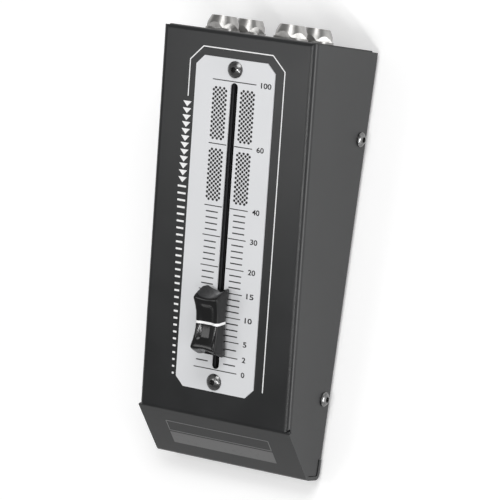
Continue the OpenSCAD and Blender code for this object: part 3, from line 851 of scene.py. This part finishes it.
def print_outline():
    """The white line round the top of the scale plate and down its right side."""
    low = OUTLINE_RIGHT_END - OUTLINE_SPARE
    band = (low + OUTLINE_BAND) * MM
    outline = flat_patch("panel_outline", OUTLINE_LEFT, OUTLINE_RIGHT, low, OUTLINE_TOP)
    pick(outline, "VERT", lambda point: point.co.y > OUTLINE_TOP / 2 * MM)
    bpy.ops.mesh.bevel(offset=OUTLINE_CORNER * MM, affect="VERTICES")
    leave()
    pick(outline, "FACE", lambda face: True)
    bpy.ops.mesh.inset(thickness=OUTLINE_THICK * MM)
    bpy.ops.mesh.delete(type="FACE")
    leave()
    pick(outline, "FACE", lambda face: face.center.y < band)
    bpy.ops.mesh.delete(type="FACE")
    leave()
    middle = (OUTLINE_LEFT + OUTLINE_RIGHT) / 2 * MM
    ends = ((1, OUTLINE_RIGHT_END), (-1, OUTLINE_LEFT_END))
    for side, end in ends:
        pick(outline, "VERT", lambda point: point.co.y < band and point.co.x * side > middle * side)
        bpy.ops.transform.resize(value=(1, 0, 1), center_override=(0, 0, 0))
        bpy.ops.transform.translate(value=(0, end * MM, 0))
        leave()
    raise_print(outline)
    lay_on(outline, PANEL_TURN)
    hang(outline, print_white)


STRIP_LEFT = -22.6
STRIP_RIGHT = -18.8
TRIANGLE_TOP = 119.75
TRIANGLE_HIGH = 2.1
TRIANGLE_GAP = 2.65
TRIANGLE_COUNT = 12
ROUND_TRIANGLE_WIDE = math.sqrt(3)
ROUND_TRIANGLE_HIGH = 1.5
RAMP_TOP = 87.0
RAMP_LOW = 14.5
RAMP_COUNT = 28
RAMP_THICK = 0.75
RAMP_SHORTEST = 0.9
STRIP_CORNER = 0.12


def print_triangles():
    """White triangles that point down the panel, from one drawn in a circle of radius 1."""
    bpy.ops.mesh.primitive_circle_add(vertices=3, radius=1, fill_type="NGON")
    triangle = name_new("panel_triangles")
    triangle.rotation_euler = (0, 0, math.pi)
    settle(triangle)
    wide = (STRIP_RIGHT - STRIP_LEFT) / ROUND_TRIANGLE_WIDE
    tall = TRIANGLE_HIGH / ROUND_TRIANGLE_HIGH
    middle = TRIANGLE_TOP - TRIANGLE_HIGH / 3
    triangle.scale = (wide * MM, tall * MM, 1)
    triangle.location = ((STRIP_LEFT + STRIP_RIGHT) / 2 * MM, middle * MM, 0)
    settle(triangle)
    pick(triangle, "VERT", lambda point: True)
    bpy.ops.mesh.bevel(offset=STRIP_CORNER * MM, affect="VERTICES")
    leave()
    raise_print(triangle)
    repeat(triangle, TRIANGLE_COUNT, (0, -TRIANGLE_GAP * MM, 0))
    lay_on(triangle, PANEL_TURN)
    hang(triangle, print_white)


def print_ramp():
    """A plain loud-to-soft ramp of bars below the triangles."""
    bars = []
    width = STRIP_RIGHT - STRIP_LEFT
    for index in range(RAMP_COUNT):
        share = index / (RAMP_COUNT - 1)
        place = RAMP_TOP + (RAMP_LOW - RAMP_TOP) * share
        reach = width + (RAMP_SHORTEST - width) * share
        low = place - RAMP_THICK / 2
        bar = flat_patch("bar", STRIP_RIGHT - reach, STRIP_RIGHT, low, low + RAMP_THICK, STRIP_CORNER)
        raise_print(bar)
        bars.append(bar)
    piece = joined(bars, "panel_ramp")
    lay_on(piece, PANEL_TURN)
    hang(piece, print_white)


BOX_LEFT = -23.9
BOX_RIGHT = 22.9
BOX_TOP = -7.05
BOX_LOW = -12.75
BOX_LINE = 0.35
BAR_TOP = -13.45
BAR_LOW = -19.6
LABEL_CORNER = 0.15


def print_nose_label():
    """The thin box and the solid bar on the nose, both bare."""
    box = flat_patch("nose_box", BOX_LEFT, BOX_RIGHT, BOX_LOW, BOX_TOP, LABEL_CORNER)
    pick(box, "FACE", lambda face: True)
    bpy.ops.mesh.inset(thickness=BOX_LINE * MM)
    bpy.ops.mesh.delete(type="FACE")
    leave()
    raise_print(box)
    lay_on(box, NOSE_TURN)
    hang(box, print_line_grey)
    bar = flat_patch("nose_bar", BOX_LEFT, BOX_RIGHT, BAR_LOW, BAR_TOP, LABEL_CORNER)
    raise_print(bar)
    lay_on(bar, NOSE_TURN)
    hang(bar, print_bar_grey)


print_scale_lines()
print_dots()
print_numbers()
print_outline()
print_triangles()
print_ramp()
print_nose_label()


# Floor and light

# Room measures are in metres, and lamp power in watts.

FLOOR_SIDE = 8
FLOOR_TONE = tone(252)
WORLD_TONE = tone(255)
WORLD_STRENGTH = 0.3
FLOOR_GLOW = 0.14
LAMPS = {
    "key_softbox": {"place": (0.35, 0.75, 0.95), "size": (0.7, 0.7), "power": 6.6},
    "panel_sheen": {"place": (-0.17, -0.02, 0.42), "size": (0.16, 0.16), "power": 0.24},
    "top_strip": {"place": (0.3, -0.2, 1.0), "size": (0.06, 0.7), "power": 3.2},
    "side_strip": {"place": (1.0, -0.1, 0.16), "size": (0.7, 0.1), "power": 4.2},
}


def lay_floor():
    """A pale floor that looks a little brighter to the camera and in gloss than the light on it."""
    bpy.ops.mesh.primitive_plane_add(size=FLOOR_SIDE)
    floor = name_new("studio_floor")
    finish = Finish("floor_pale", Roughness=0.9, Specular_IOR_Level=0.1, Emission_Strength=FLOOR_GLOW)
    seen = 0
    for ray in ("Is Camera Ray", "Is Glossy Ray", "Is Transmission Ray"):
        seen = finish.add("ShaderNodeLightPath", {}, {}, ray) + seen
    finish.feed_shader(
        Base_Color=FLOOR_TONE,
        Emission_Color=finish.between(seen, tone(0), WORLD_TONE),
    )
    floor.data.materials.append(finish.material)


def hang_lamps():
    """Soft rectangular lamps that all face the middle of the object."""
    for name, lamp in LAMPS.items():
        bpy.ops.object.light_add(type="AREA", location=lamp["place"])
        light = bpy.context.object
        light.name = name
        light.data.shape = "RECTANGLE"
        light.data.size, light.data.size_y = lamp["size"]
        light.data.energy = lamp["power"]
        light.rotation_euler = Vector(lamp["place"]).to_track_quat("Z", "Y").to_euler()


def light_room():
    """An even white sky."""
    world = bpy.data.worlds.new("studio_world")
    world.use_nodes = True
    sky = world.node_tree.nodes["Background"]
    sky.inputs["Color"].default_value = WORLD_TONE
    sky.inputs["Strength"].default_value = WORLD_STRENGTH
    bpy.context.scene.world = world


lay_floor()
hang_lamps()
light_room()
bpy.context.scene.view_settings.view_transform = "Standard"
